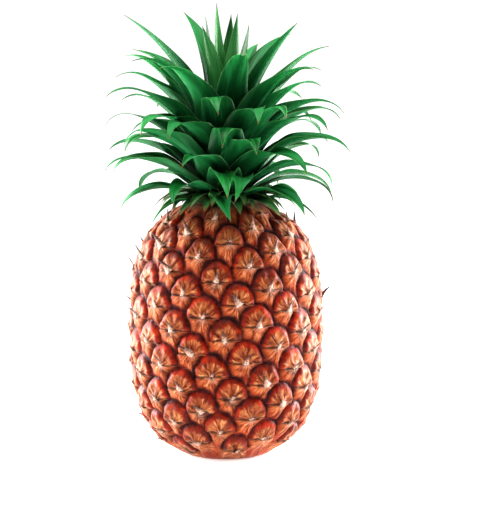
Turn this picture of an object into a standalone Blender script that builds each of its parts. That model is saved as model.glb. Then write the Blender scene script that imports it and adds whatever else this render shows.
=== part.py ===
"""A whole pineapple standing on its base: one fruit covered in spiral eyes, its cut stem end, the
short stem of the crown and every leaf of the crown as a piece of its own.

Frame: metres, +Z up, origin at the centre of the flat spot that the fruit stands on. +X is to the
right and -Y is the front. Run it with blender --background --python part.py.
"""

import math
import random

import bmesh
import bpy
import numpy as np
from mathutils import Vector

# ---- fruit -----------------------------------------------------------------------------------
FRUIT_RADIUS = 0.0645  # over the tops of the eyes, at the widest place
FRUIT_HEIGHT = 0.164  # from the flat spot to the crown's seat
FRUIT_WAIST = 0.082  # height of the widest place
PROFILE_HALF_HEIGHT = 0.084  # of the superellipse that the ends are cut from
PROFILE_POWER = 2.8
PROFILE_RINGS = 37
FRUIT_SEGMENTS = 84  # four for each of the steep spiral rows of eyes

GOLDEN_ANGLE = math.radians(137.50776)
EYE_PITCH = 0.001103  # rise from one eye to the next along the spiral
EYE_DEPTH = 0.0040  # of the creases between eyes
EYE_SHOULDER = 0.0085  # how far in from a crease an eye reaches its full height
FIRST_EYE_HEIGHT = 0.0037
FIRST_EYE_AZIMUTH = math.radians(89.1)
EYE_COUNT = 145
RELIEF_FADE = 0.010  # the relief dies out over this height at both ends

# ---- cut stem end under the fruit ------------------------------------------------------------
STUB_RADIUS = 0.0125
STUB_LENGTH = 0.007
STUB_CHAMFER = 0.0006
GAP = 0.0003  # between pieces that touch

# ---- crown stem ------------------------------------------------------------------------------
STEM_BASE = FRUIT_HEIGHT + GAP
STEM_HEIGHT = 0.053
STEM_SHOULDER = 0.72  # share of the height below the cone at its top
STEM_RADII = (0.0175, 0.0125, 0.0035)  # at its foot, its shoulder and its tip

# ---- crown leaves ----------------------------------------------------------------------------
LEAF_COUNT = 57
LEAF_THICKNESS = 0.0008
LEAF_SEGMENTS_ALONG = 8
LEAF_SEGMENTS_ACROSS = 4
LEAF_WRAP_LIMIT = 0.93  # radians of the stem that half a leaf may clasp
FIRST_LEAF_AZIMUTH = math.radians(74.7)
FIRST_LEAF_HEIGHT = 0.0006  # above the foot of the crown stem
LAST_LEAF_DROP = 0.0012  # below the tip of the crown stem
YOUNG_LEAF_RANK = 0.90  # leaves from here inwards are young and upright
LEAF_SEED = 1857
# From the lowest leaf (rank 0) to the innermost (rank 1), with angles in degrees:
LEAF_RANKS = (0.0, 0.1, 0.25, 0.4, 0.6, 0.75, 0.86, 0.895, 0.92, 0.95, 1.0)
LEAF_LENGTHS = (0.044, 0.055, 0.067, 0.073, 0.081, 0.089, 0.093, 0.090, 0.061, 0.0735, 0.0725)
LEAF_HALF_WIDTHS = (0.0085, 0.0105, 0.0130, 0.0148, 0.0160, 0.0158, 0.0140, 0.0125, 0.0108, 0.0105, 0.0098)
LEAF_CHANNELS = (0.0025, 0.0038, 0.0056, 0.0074, 0.0084, 0.0082, 0.0062, 0.0042, 0.0008, 0.0004, 0.0)
LEAF_SLOPES = (17.0, 27.0, 40.0, 52.0, 62.0, 67.0, 73.0, 78.0, 86.0, 87.0, 88.0)  # where they start
LEAF_BENDS = (72.0, 70.0, 60.0, 57.0, 54.0, 50.0, 42.0, 38.0, 12.0, 4.0, 0.0)  # from base to tip
LEAF_CROWDING = 1.2  # over 1 sets the lower leaves closer together
LEAF_SPREAD = 17.0  # the most that a bend strays, except in the innermost leaves
LEAF_CURL = (35.0, 95.0)  # the least and the most that a tip droops
LEAF_FOLD = 1.2  # how much of its channel the most drooping tip loses; past 1 it becomes a ridge
LEAF_SWAY = 10.0  # the most that a tip swings sideways round the stem
LEAF_ROLL = 24.0  # the most that a blade tilts


def interpolated(rank, values):
    """The value at a leaf's rank, from one of the tables above."""
    return float(np.interp(rank, LEAF_RANKS, values))


def smoothstep(low, high, x):
    """0 below low, 1 above high and smooth between them."""
    t = np.clip((np.asarray(x, float) - low) / (high - low), 0.0, 1.0)
    return t * t * (3.0 - 2.0 * t)


# ---- helpers ---------------------------------------------------------------------------------
def clear_scene():
    """Removes whatever the startup file holds."""
    for obj in list(bpy.data.objects):
        bpy.data.objects.remove(obj, do_unlink=True)


def new_collection(name):
    """A collection linked to the scene."""
    collection = bpy.data.collections.new(name)
    bpy.context.scene.collection.children.link(collection)
    return collection


def material(name, colour, roughness):
    """A plain Principled material."""
    made = bpy.data.materials.new(name)
    made.use_nodes = True
    shader = made.node_tree.nodes["Principled BSDF"]
    shader.inputs["Base Color"].default_value = (*colour, 1.0)
    shader.inputs["Roughness"].default_value = roughness
    shader.inputs["Metallic"].default_value = 0.0
    made.diffuse_color = (*colour, 1.0)
    return made


def add_object(name, mesh, collection, finish, smooth_angle=40.0):
    """Links a mesh as a named object with its material, shaded smooth up to an angle."""
    obj = bpy.data.objects.new(name, mesh)
    collection.objects.link(obj)
    mesh.materials.clear()
    mesh.materials.append(finish)
    mesh.shade_smooth()
    mesh.set_sharp_from_angle(angle=math.radians(smooth_angle))
    return obj


def turned(profile, segments):
    """A mesh made by a Screw modifier from a profile of (radius, height) that runs top to bottom."""
    outline = bpy.data.meshes.new("profile")
    outline.from_pydata([(r, 0.0, z) for r, z in profile],
                        [(i, i + 1) for i in range(len(profile) - 1)], [])
    spun = bpy.data.objects.new("profile", outline)
    bpy.context.scene.collection.objects.link(spun)
    screw = spun.modifiers.new("Screw", "SCREW")
    screw.steps = segments
    screw.render_steps = segments
    screw.use_merge_vertices = True
    screw.merge_threshold = 0.00005
    graph = bpy.context.evaluated_depsgraph_get()
    mesh = bpy.data.meshes.new_from_object(spun.evaluated_get(graph))
    bpy.data.objects.remove(spun, do_unlink=True)
    return mesh


# ---- fruit -----------------------------------------------------------------------------------
def fruit_radius(z):
    """The fruit's radius over its eyes at a height, from one superellipse."""
    t = np.clip(np.abs(np.asarray(z, float) - FRUIT_WAIST) / PROFILE_HALF_HEIGHT, 0.0, 1.0)
    return FRUIT_RADIUS * (1.0 - t**PROFILE_POWER) ** (1.0 / PROFILE_POWER)


def eye_centres():
    """The middle of each eye on the fruit, following the golden angle up from the base."""
    index = np.arange(EYE_COUNT)
    z = FIRST_EYE_HEIGHT + EYE_PITCH * index
    azimuth = FIRST_EYE_AZIMUTH + GOLDEN_ANGLE * index
    r = fruit_radius(z)
    return np.column_stack([r * np.cos(azimuth), r * np.sin(azimuth), z])


def fruit_profile():
    """The outline from the crown's seat, down the side and into the pocket of the stem end."""
    pocket = STUB_RADIUS + GAP
    roof = STUB_LENGTH + GAP
    # An even turn from ring to ring gives the shoulders as many rings as the straighter side.
    half_turn = math.asin(FRUIT_HEIGHT / 2.0 / PROFILE_HALF_HEIGHT)
    turns = np.linspace(half_turn, -half_turn, PROFILE_RINGS)
    side = [(float(fruit_radius(z)), float(z)) for z in FRUIT_WAIST + PROFILE_HALF_HEIGHT * np.sin(turns)]
    return [(0.0, FRUIT_HEIGHT), *side, (pocket, 0.0), (pocket, roof), (0.0, roof)]


def eye_relief(points):
    """How far each point of the side sinks below the tops of the eyes, deepest in the creases."""
    centres = eye_centres()
    apart = np.linalg.norm(points[:, None, :] - centres[None, :, :], axis=2)
    nearest = np.sort(apart, axis=1)[:, :2]
    to_crease = (nearest[:, 1] - nearest[:, 0]) / 2.0
    sunk = EYE_DEPTH * (1.0 - smoothstep(0.0, EYE_SHOULDER, to_crease))
    z = points[:, 2]
    fade = smoothstep(0.0, RELIEF_FADE, z) * smoothstep(0.0, RELIEF_FADE, FRUIT_HEIGHT - z)
    return sunk * fade


def build_fruit(collection, finish):
    """The fruit as one solid: a turned body whose side is pressed in between its eyes."""
    mesh = turned(fruit_profile(), FRUIT_SEGMENTS)
    points = np.empty(len(mesh.vertices) * 3)
    mesh.vertices.foreach_get("co", points)
    points = points.reshape(-1, 3)
    radius = np.hypot(points[:, 0], points[:, 1])
    side = radius > STUB_RADIUS * 1.5  # leaves out the pocket and the middle of the seat
    scale = 1.0 - eye_relief(points[side]) / radius[side]
    points[side, :2] *= scale[:, None]
    mesh.vertices.foreach_set("co", points.ravel())
    mesh.update()
    return add_object("fruit", mesh, collection, finish)


# ---- stem end and crown stem -----------------------------------------------------------------
def build_stem_stub(collection, finish):
    """The cut end of the stalk, flush with the flat spot, in its pocket under the fruit."""
    profile = [
        (0.0, STUB_LENGTH),
        (STUB_RADIUS, STUB_LENGTH),
        (STUB_RADIUS, STUB_CHAMFER),
        (STUB_RADIUS - STUB_CHAMFER, 0.0),
        (0.0, 0.0),
    ]
    return add_object("stem_stub", turned(profile, 32), collection, finish)


def stem_radius(z):
    """The crown stem's radius at a height: nearly straight, then a cone."""
    foot, shoulder, tip = STEM_RADII
    heights = (STEM_BASE, STEM_BASE + STEM_SHOULDER * STEM_HEIGHT, STEM_BASE + STEM_HEIGHT)
    return float(np.interp(z, heights, (foot, shoulder, tip)))


def build_crown_stem(collection, finish):
    """The short stem that carries the crown's leaves, standing on the fruit's seat."""
    top = STEM_BASE + STEM_HEIGHT
    shoulder = STEM_BASE + STEM_SHOULDER * STEM_HEIGHT
    profile = [
        (0.0, top),
        (stem_radius(top), top),
        (stem_radius(shoulder), shoulder),
        (stem_radius(STEM_BASE), STEM_BASE),
        (0.0, STEM_BASE),
    ]
    return add_object("crown_stem", turned(profile, 28), collection, finish)


# ---- crown leaves ----------------------------------------------------------------------------
class Leaf:
    """One leaf of the crown, as a strip laid on a surface of revolution.

    Each leaf starts on the stem, rises at its own slope and bends outwards. The surfaces of
    successive leaves lie one inside the other, so that leaves never meet.
    """

    def __init__(self, index, chance):
        rank = index / (LEAF_COUNT - 1)
        self.rank = rank
        self.length = interpolated(rank, LEAF_LENGTHS) * (1.0 + chance.uniform(-0.06, 0.06))
        self.half_width = interpolated(rank, LEAF_HALF_WIDTHS)
        self.channel = interpolated(rank, LEAF_CHANNELS)
        self.azimuth = FIRST_LEAF_AZIMUTH + GOLDEN_ANGLE * index
        self.start_slope = math.radians(interpolated(rank, LEAF_SLOPES))
        stray = LEAF_SPREAD * (1.0 - smoothstep(0.80, 0.92, rank)) * smoothstep(0.0, 0.3, rank)
        self.bend = math.radians(interpolated(rank, LEAF_BENDS) + chance.uniform(-stray, stray))
        droop = (1.0 - smoothstep(0.60, 0.92, rank)) * smoothstep(0.0, 0.25, rank)
        self.curl = math.radians(chance.uniform(*LEAF_CURL) * droop)
        self.sway = math.radians(chance.uniform(-LEAF_SWAY, LEAF_SWAY))
        self.roll = math.radians(chance.uniform(-LEAF_ROLL, LEAF_ROLL)) * (1.0 - rank)
        travel = STEM_HEIGHT - FIRST_LEAF_HEIGHT - LAST_LEAF_DROP
        self.start_height = STEM_BASE + FIRST_LEAF_HEIGHT + travel * rank**LEAF_CROWDING

    def slope(self, s):
        """The leaf's slope at a share of its length."""
        tip = np.clip((s - 0.65) / 0.35, 0.0, 1.0)
        return self.start_slope - self.bend * s - self.curl * tip**1.5

    def spine(self, s):
        """The radius and height of the leaf's middle line at shares of its length."""
        fine = np.linspace(0.0, 1.0, 201)
        middle = (fine[1:] + fine[:-1]) / 2.0
        step = self.length / (len(fine) - 1)
        run = np.concatenate([[0.0], np.cumsum(np.cos(self.slope(middle)) * step)])
        rise = np.concatenate([[0.0], np.cumsum(np.sin(self.slope(middle)) * step)])
        start = stem_radius(self.start_height) + GAP + LEAF_THICKNESS
        return start + np.interp(s, fine, run), self.start_height + np.interp(s, fine, rise)

    def width(self, s):
        """Half the leaf's width at shares of its length: narrow at the clasping base and pointed."""
        base = 0.72 + 0.28 * smoothstep(0.0, 0.16, s)
        return np.maximum(self.half_width * base * (1.0 - s**1.55), 0.0004)

    def trough(self, s):
        """How much of the leaf's channel there is at shares of its length."""
        turned_over = LEAF_FOLD * self.curl / math.radians(LEAF_CURL[1]) * smoothstep(0.45, 0.75, s)
        return smoothstep(0.12, 0.5, s) * (1.0 - turned_over)

    def points(self, u, s):
        """Points of the leaf's middle surface, for u from -1 to 1 across and s from 0 to 1 along."""
        r, z = self.spine(s)
        slope = self.slope(s)
        half = np.minimum(self.width(s), r * LEAF_WRAP_LIMIT)
        lift = self.channel * self.trough(s) * half / self.half_width * u * u
        lift = lift + np.tan(self.roll) * smoothstep(0.25, 0.8, s) * half * u
        azimuth = self.azimuth + self.sway * s * s + u * half / r
        out = r - lift * np.sin(slope)
        up = z + lift * np.cos(slope)
        return np.column_stack([out * np.cos(azimuth), out * np.sin(azimuth), up])


def build_leaf(index, leaf, collection, finish):
    """A leaf as a bent grid with a Solidify modifier for its thickness."""
    mesh = bpy.data.meshes.new(f"leaf_{index + 1:02d}")
    grid = bmesh.new()
    bmesh.ops.create_grid(
        grid, x_segments=LEAF_SEGMENTS_ACROSS, y_segments=LEAF_SEGMENTS_ALONG, size=1.0
    )
    flat = np.array([vertex.co for vertex in grid.verts])
    bent = leaf.points(flat[:, 0], np.clip((flat[:, 1] + 1.0) / 2.0, 0.0, 1.0))
    for vertex, place in zip(grid.verts, bent, strict=True):
        vertex.co = Vector(place)
    grid.to_mesh(mesh)
    grid.free()
    obj = add_object(mesh.name, mesh, collection, finish)
    solidify = obj.modifiers.new("Thickness", "SOLIDIFY")
    solidify.thickness = LEAF_THICKNESS
    solidify.offset = 0.0
    return obj


def build_leaves(collection, finishes):
    """All the crown's leaves from the lowest to the innermost, each at the golden angle to the last."""
    chance = random.Random(LEAF_SEED)
    for index in range(LEAF_COUNT):
        leaf = Leaf(index, chance)
        build_leaf(index, leaf, collection, finishes[leaf.rank >= YOUNG_LEAF_RANK])


def main():
    """Builds the whole pineapple."""
    clear_scene()
    pineapple = new_collection("pineapple")
    rind = material("rind", (0.42, 0.13, 0.04), 0.5)
    stalk = material("stalk", (0.55, 0.42, 0.22), 0.85)
    heart = material("crown_heart", (0.35, 0.42, 0.18), 0.7)
    leaf_green = material("leaf_green", (0.03, 0.16, 0.06), 0.45)
    young_green = material("young_leaf_green", (0.12, 0.36, 0.14), 0.45)
    build_fruit(pineapple, rind)
    build_stem_stub(pineapple, stalk)
    build_crown_stem(pineapple, heart)
    build_leaves(pineapple, (leaf_green, young_green))


main()
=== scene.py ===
"""The looks of a whole pineapple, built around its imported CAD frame.

The rind is one dense skin whose eyes are modelled from the golden-angle rule of the fruit: a rounded
hood of sepals over a bract that tapers down between its neighbours. The papery bract tips, the crown's
leaves, more leaves between those and the small drying leaves round the crown's foot are pieces of
their own. The cut stalk and the crown's stem are the CAD parts in better materials. Everything is in
metres in the frame's own axes; patterns are in millimetres.
"""

from __future__ import annotations

import logging
import math
import random
from dataclasses import dataclass, field
from enum import Enum
from functools import partial

import bmesh
import bpy
import numpy as np
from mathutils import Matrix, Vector


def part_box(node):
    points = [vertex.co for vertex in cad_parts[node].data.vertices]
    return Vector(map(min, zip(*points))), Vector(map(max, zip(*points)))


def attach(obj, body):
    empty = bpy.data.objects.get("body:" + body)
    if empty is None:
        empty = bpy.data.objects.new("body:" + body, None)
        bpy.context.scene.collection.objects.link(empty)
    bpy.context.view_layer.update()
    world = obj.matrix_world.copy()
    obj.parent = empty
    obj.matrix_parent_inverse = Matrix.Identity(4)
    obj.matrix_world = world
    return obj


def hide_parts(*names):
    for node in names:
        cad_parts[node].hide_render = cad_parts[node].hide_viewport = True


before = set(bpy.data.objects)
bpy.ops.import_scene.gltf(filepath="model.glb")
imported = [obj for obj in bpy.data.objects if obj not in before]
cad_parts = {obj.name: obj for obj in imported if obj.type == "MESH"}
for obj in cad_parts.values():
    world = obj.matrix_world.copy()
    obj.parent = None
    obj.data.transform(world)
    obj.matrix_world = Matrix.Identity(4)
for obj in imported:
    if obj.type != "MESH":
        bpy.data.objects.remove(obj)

LOG = logging.getLogger("pineapple")
MM = 0.001
GOLDEN_ANGLE = math.radians(137.50776)
MARGIN_ANGLE = math.radians(45.0)  # a leaf's skins meet at more than this, so its margin stays sharp
FAR_OUTSIDE = -50.0  # millimetres from a hood, more than any point on the fruit can be
Array = np.ndarray
Socket = bpy.types.NodeSocket

ATTRIBUTE = "ShaderNodeAttribute"
BUMP = "ShaderNodeBump"
COMBINE = "ShaderNodeCombineXYZ"
COORDINATE = "ShaderNodeTexCoord"
MATH = "ShaderNodeMath"
MIX = "ShaderNodeMix"
NOISE = "ShaderNodeTexNoise"
RAMP = "ShaderNodeValToRGB"
RANGE = "ShaderNodeMapRange"
SEPARATE = "ShaderNodeSeparateXYZ"
VECTOR = "ShaderNodeVectorMath"
VORONOI = "ShaderNodeTexVoronoi"
SMOOTH = {"interpolation_type": "SMOOTHSTEP"}
COLOURS = {"data_type": "RGBA"}


class Slot(Enum):
    """Names of three material slots, which no piece here is given."""

    RIND = "rind"
    LEAF = "leaf_green"
    YOUNG_LEAF = "young_leaf_green"


# ---- small helpers -----------------------------------------------------------------------------
def linear(colour: str) -> tuple[float, float, float, float]:
    """Turns an sRGB hex colour to linear RGBA.

    Args:
        colour: six hex digits after a hash.

    Returns:
        Linear red, green, blue and an alpha of 1.
    """
    channels = [int(colour[i : i + 2], 16) / 255.0 for i in (1, 3, 5)]
    flat = [c / 12.92 if c <= 0.04045 else ((c + 0.055) / 1.055) ** 2.4 for c in channels]
    return (flat[0], flat[1], flat[2], 1.0)


def smoothstep(low: float, high: float, x: Array | float) -> Array:
    """0 below low, 1 above high and smooth between them."""
    t = np.clip((np.asarray(x, float) - low) / (high - low), 0.0, 1.0)
    return t * t * (3.0 - 2.0 * t)


def add_node(
    tree: bpy.types.NodeTree,
    kind: str,
    *values: object,
    named: dict[str, object] | None = None,
    out: int = 0,
    stops: dict[float, str] | None = None,
    **settings: object,
) -> Socket | None:
    """Adds a node with its settings and links.

    Args:
        tree: the node tree.
        kind: the node's type name.
        values: what goes into its live inputs, in order: a socket to link from, a hex colour, a plain
            value, or None to leave the input as it is.
        named: the same for inputs given by name.
        out: which of its live outputs to give back.
        stops: the positions and hex colours of a colour ramp.
        settings: properties of the node.

    Returns:
        One of the new node's outputs, or None where it has none.
    """
    made = tree.nodes.new(kind)
    for name, value in settings.items():
        setattr(made, name, value)
    live = [socket for socket in made.inputs if socket.enabled]
    pairs = list(zip(live, values)) + [(made.inputs[name], value) for name, value in (named or {}).items()]
    for socket, value in pairs:
        if isinstance(value, Socket):
            tree.links.new(value, socket)
        elif value is not None:
            socket.default_value = linear(value) if isinstance(value, str) and value[0] == "#" else value
    if stops:
        ramp = made.color_ramp
        while len(ramp.elements) < len(stops):
            ramp.elements.new(1.0)
        for element, (position, colour) in zip(ramp.elements, stops.items()):
            element.position = position
            element.color = linear(colour)
    given = [socket for socket in made.outputs if socket.enabled]
    return given[out] if given else None


def linked(name: str, data: bpy.types.ID) -> bpy.types.Object:
    """Makes an object of a mesh, camera or lamp and links it to the scene."""
    made = bpy.data.objects.new(name, data)
    bpy.context.scene.collection.objects.link(made)
    return made


def mesh_object(
    name: str,
    points: Array,
    faces: list[tuple[int, ...]] | Array,
    attributes: dict[str, Array] | None = None,
    sharp_from: float = math.pi,
) -> bpy.types.Object:
    """Makes a smooth-shaded mesh object at the origin.

    Args:
        name: the object's name.
        points: its vertices.
        faces: its faces.
        attributes: three numbers for each vertex, by attribute name.
        sharp_from: the angle between faces from which their edge is sharp.

    Returns:
        The object, linked to the scene.
    """
    mesh = bpy.data.meshes.new(name)
    mesh.from_pydata(points.tolist(), [], [tuple(face) for face in faces])
    for key, values in (attributes or {}).items():
        layer = mesh.attributes.new(key, "FLOAT_VECTOR", "POINT")
        layer.data.foreach_set("vector", np.asarray(values, np.float32).ravel())
    mesh.shade_smooth()
    if sharp_from < math.pi:
        mesh.set_sharp_from_angle(angle=sharp_from)
    mesh.update()
    return linked(name, mesh)


def settle(piece: bpy.types.Object, nodes: list[str] | None = None) -> None:
    """Puts a finished piece on the only body and hides the nodes it stands for.

    Args:
        piece: the finished piece.
        nodes: the CAD nodes it stands for.
    """
    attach(piece, "root")
    if nodes:
        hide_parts(*nodes)
    LOG.info("%s: %d faces", piece.name, len(piece.data.polygons))


def turned_grid(rows: int, columns: int) -> list[tuple[int, ...]]:
    """Faces of a closed turned skin: a pole, rings of points from top to bottom, and a pole.

    Args:
        rows: how many rings there are between the poles.
        columns: points in each ring.

    Returns:
        The faces, pointing outwards for rings that run anticlockwise from above.
    """
    after = [(j + 1) % columns for j in range(columns)]
    faces: list[tuple[int, ...]] = [(0, 1 + j, 1 + after[j]) for j in range(columns)]
    for i in range(rows - 1):
        upper = 1 + i * columns
        lower = upper + columns
        faces += [(upper + j, lower + j, lower + after[j], upper + after[j]) for j in range(columns)]
    last = 1 + (rows - 1) * columns
    bottom = last + columns
    faces += [(last + j, bottom, last + after[j]) for j in range(columns)]
    return faces


def leaf_faces(rows: int, columns: int) -> list[tuple[int, ...]]:
    """Faces of a closed leaf: an upper grid of points, a lower one, and the margin between them.

    Args:
        rows: how many rows of points run across the leaf.
        columns: points in each row.

    Returns:
        The faces, with the lower grid's points numbered after the upper's.
    """
    count = rows * columns
    faces: list[tuple[int, ...]] = []
    for i in range(rows - 1):
        for a in range(i * columns, (i + 1) * columns - 1):
            b = a + columns
            faces.append((a, b, b + 1, a + 1))
            faces.append((count + a, count + a + 1, count + b + 1, count + b))
        left, right = i * columns, (i + 1) * columns - 1
        faces.append((left, count + left, count + left + columns, left + columns))
        faces.append((right, right + columns, count + right + columns, count + right))
    for j in range(columns - 1):
        end = (rows - 1) * columns + j
        faces.append((j, j + 1, count + j + 1, count + j))
        faces.append((end, count + end, count + end + 1, end + 1))
    return faces


def run_tree(
    piece: bpy.types.Object, tree: bpy.types.NodeTree, values: dict[str, object]
) -> bpy.types.Object:
    """Evaluates a Geometry Nodes tree on a piece and keeps the result as a plain mesh.

    Args:
        piece: the object that the tree starts from; it is removed.
        tree: the tree.
        values: its inputs by name.

    Returns:
        A new object with the result, under the piece's name.
    """
    modifier = piece.modifiers.new("Nodes", "NODES")
    modifier.node_group = tree
    for item in tree.interface.items_tree:
        if item.item_type == "SOCKET" and item.in_out == "INPUT" and item.name in values:
            modifier[item.identifier] = values[item.name]
    graph = bpy.context.evaluated_depsgraph_get()
    mesh = bpy.data.meshes.new_from_object(piece.evaluated_get(graph))
    name = piece.name
    piece.modifiers.remove(modifier)
    bpy.data.objects.remove(piece, do_unlink=True)
    return linked(name, mesh)


# ---- finishes ----------------------------------------------------------------------------------
class Finish:
    """A procedural material with a Principled shader, made once and shared."""

    name = "finish"

    def material(self) -> bpy.types.Material:
        """Builds the material, or gives the one already built."""
        made = bpy.data.materials.get(self.name)
        if made is None:
            made = bpy.data.materials.new(self.name)
            made.use_nodes = True
            self.dress(made.node_tree, made.node_tree.nodes["Principled BSDF"])
        return made

    def dress(self, tree: bpy.types.NodeTree, shader: bpy.types.Node) -> None:
        """Wires the finish into a new material's shader."""
        raise NotImplementedError

    def put_on(self, piece: bpy.types.Object) -> None:
        """Makes this the piece's only material."""
        piece.data.materials.clear()
        piece.data.materials.append(self.material())


@dataclass(frozen=True)
class RindFinish(Finish):
    """Ripe pineapple rind: waxy red-orange sepals round a streaked tan middle, over dry fibrous bracts.

    The eye sees glossy red arches with dark seams between them, and fans of pale fibre under them.
    """

    name: str = "waxy_rind"
    # rim_dark also lines each seam as its own deep maroon; seam is the near-black painted shade at the core
    # of the seams and along the hood's lower lip.
    seam: str = "#240404"
    rim_dark: str = "#3e0402"
    rim_bright: str = "#941803"
    # A painted highlight along the crest of each hood's rim.
    painted_rim_highlight: str = "#c24a12"
    flank: str = "#9a3c10"
    paper: str = "#bfa090"
    mould: str = "#38302c"
    roughness: float = 0.36

    def dress(self, tree: bpy.types.NodeTree, shader: bpy.types.Node) -> None:
        """Wires the rind's colours, gloss and relief.

        Args:
            tree: the material's node tree.
            shader: its Principled shader.
        """
        node = partial(add_node, tree)
        place = node(COORDINATE, out=3)
        # Every outline wanders by about a millimetre over 4 mm, so no two eyes are drawn alike.
        ripple = node(NOISE, place, 240.0, 3.0, 0.6, out=1)
        shift = node(VECTOR, ripple, (0.5, 0.5, 0.5), operation="SUBTRACT")
        eye = node(ATTRIBUTE, attribute_name="eye", out=1)
        warped = node(VECTOR, shift, (3.6, 3.6, 0.0), eye, operation="MULTIPLY_ADD")
        across, up, chance = node(SEPARATE, warped).node.outputs[:3]
        cell = node(ATTRIBUTE, attribute_name="cell", out=1)
        moved = node(VECTOR, shift, (2.2, 0.0, 0.0), cell, operation="MULTIPLY_ADD")
        edge, is_hood, wear = node(SEPARATE, moved).node.outputs[:3]
        blotch = node(NOISE, place, 130.0, 3.0, 0.6)
        grain = node(NOISE, place, 620.0, 4.0, 0.65)

        # Fibres fan out from the bract's tip: a noise stretched along the distance from it.
        height = node(MATH, node(MATH, up, 0.6, operation="ADD"), operation="ABSOLUTE")
        angle = node(MATH, across, node(MATH, height, 0.8, operation="ADD"), operation="ARCTAN2")
        reach = node(VECTOR, node(COMBINE, across, height, 0.0), operation="LENGTH", out=0)
        kind = node(MATH, is_hood, 9.0, operation="MULTIPLY")
        own = node(MATH, chance, 83.0, kind, operation="MULTIPLY_ADD")
        spokes = node(RANGE, is_hood, 0.0, 1.0, 4.0, 2.7)
        fan = node(COMBINE, node(MATH, angle, spokes, operation="MULTIPLY"),
                   node(MATH, reach, 0.09, operation="MULTIPLY"), own)
        rays = node(NOISE, fan, 1.5, 3.0, 0.62)

        hood = self.hood_colour(tree, edge, reach, chance, blotch, rays)
        bract = self.bract_colour(tree, edge, across, up, reach, rays)
        colour = node(MIX, is_hood, bract, hood, **COLOURS)
        colour = self.weathered(tree, colour, up, reach, rays, grain, wear)
        colour = self.seams_with_painted_shade(tree, colour, edge, up, is_hood, grain, blotch)
        tree.links.new(colour, shader.inputs["Base Color"])

        dry = node(RANGE, is_hood, 0.0, 1.0, 0.24, 0.0)
        gloss = node(RANGE, grain, 0.3, 0.7, self.roughness - 0.08, self.roughness + 0.10)
        tree.links.new(node(MATH, dry, gloss, operation="ADD"), shader.inputs["Roughness"])
        shader.inputs["IOR"].default_value = 1.45
        shader.inputs["Specular IOR Level"].default_value = 0.16
        tree.links.new(node(RANGE, edge, 0.5, 3.5, 0.0, 0.27, **SMOOTH), shader.inputs["Sheen Weight"])
        shader.inputs["Sheen Roughness"].default_value = 0.45
        shader.inputs["Sheen Tint"].default_value = linear("#ffe0c0")
        grit = node(MATH, grain, 0.5, operation="MULTIPLY")
        ridges = node(MATH, rays, 1.4, grit, operation="MULTIPLY_ADD")
        bump = node(BUMP, named={"Height": ridges, "Strength": 0.6, "Distance": 0.7 * MM})
        tree.links.new(bump, shader.inputs["Normal"])

    def hood_colour(
        self, tree: bpy.types.NodeTree, edge: Socket, reach: Socket, chance: Socket, blotch: Socket,
        rays: Socket,
    ) -> Socket:
        """The sepals' colour: a red band along the arch with a painted highlight along its crest, and tan
        rays in the middle.

        Args:
            tree: the node tree.
            edge: millimetres in from the seam.
            reach: millimetres from the bract's tip.
            chance: the eye's own random number.
            blotch: a broad noise.
            rays: the fan of fibres.

        Returns:
            The colour.
        """
        node = partial(add_node, tree)
        mood = node(MATH, chance, 0.30, blotch, operation="MULTIPLY_ADD")
        ripe = node(RANGE, mood, 0.40, 0.85, 0.0, 1.0, **SMOOTH)
        rim = node(MIX, ripe, self.rim_dark, self.rim_bright, **COLOURS)
        # A lighter orange band about 2.6 mm in from the seam is a painted highlight along the rim's crest.
        painted_crest_highlight = node(RANGE, node(MATH, edge, 2.6, 1.5, operation="COMPARE"), 0.0, 1.0, 0.0, 0.35)
        rim = node(MIX, node(MATH, painted_crest_highlight, blotch, operation="MULTIPLY"), rim, self.painted_rim_highlight, **COLOURS)
        streak = node(RANGE, rays, 0.52, 0.38, 0.0, 0.55, **SMOOTH)
        rim = node(MIX, streak, rim, self.rim_dark, **COLOURS)
        middle = node(RAMP, rays, stops={
            0.32: "#3c0e06", 0.42: "#6c280e", 0.50: "#8a4420", 0.60: "#a06036", 0.76: "#d2a470",
        })
        wander = node(MATH, node(MATH, rays, 7.0, -3.5, operation="MULTIPLY_ADD"),
                      node(MATH, chance, 3.0, operation="MULTIPLY"), operation="ADD")
        inside = node(MATH, node(MATH, edge, wander, operation="ADD"), reach, operation="SUBTRACT")
        return node(MIX, node(RANGE, inside, -5.4, -1.6, 0.0, 1.0, **SMOOTH), rim, middle, **COLOURS)

    def bract_colour(
        self, tree: bpy.types.NodeTree, edge: Socket, across: Socket, up: Socket, reach: Socket,
        rays: Socket,
    ) -> Socket:
        """The bract's colour: pale and brown rays from its tip, turning orange towards the seams.

        Args:
            tree: the node tree.
            edge: millimetres from the nearest seam.
            across: millimetres across the eye.
            up: millimetres up from the bract's tip.
            reach: millimetres from the bract's tip.
            rays: the fan of fibres.

        Returns:
            The colour.
        """
        node = partial(add_node, tree)
        fibre = node(RAMP, rays, stops={
            0.32: "#40140a", 0.42: "#7a3212", 0.51: "#9e5028", 0.62: "#ba764e", 0.78: "#dcb08a",
        })
        side = node(MATH, node(MATH, across, operation="ABSOLUTE"), edge, operation="SUBTRACT")
        outer = node(RANGE, side, 0.0, 7.0, 0.0, 0.70, **SMOOTH)
        colour = node(MIX, outer, fibre, self.flank, **COLOURS)
        low = node(RANGE, up, -7.0, -12.5, 0.0, 0.6, **SMOOTH)
        colour = node(MIX, low, colour, self.rim_bright, **COLOURS)
        near = node(RANGE, reach, 5.0, 1.0, 0.0, 0.35, **SMOOTH)
        return node(MIX, near, colour, self.paper, **COLOURS)

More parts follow.
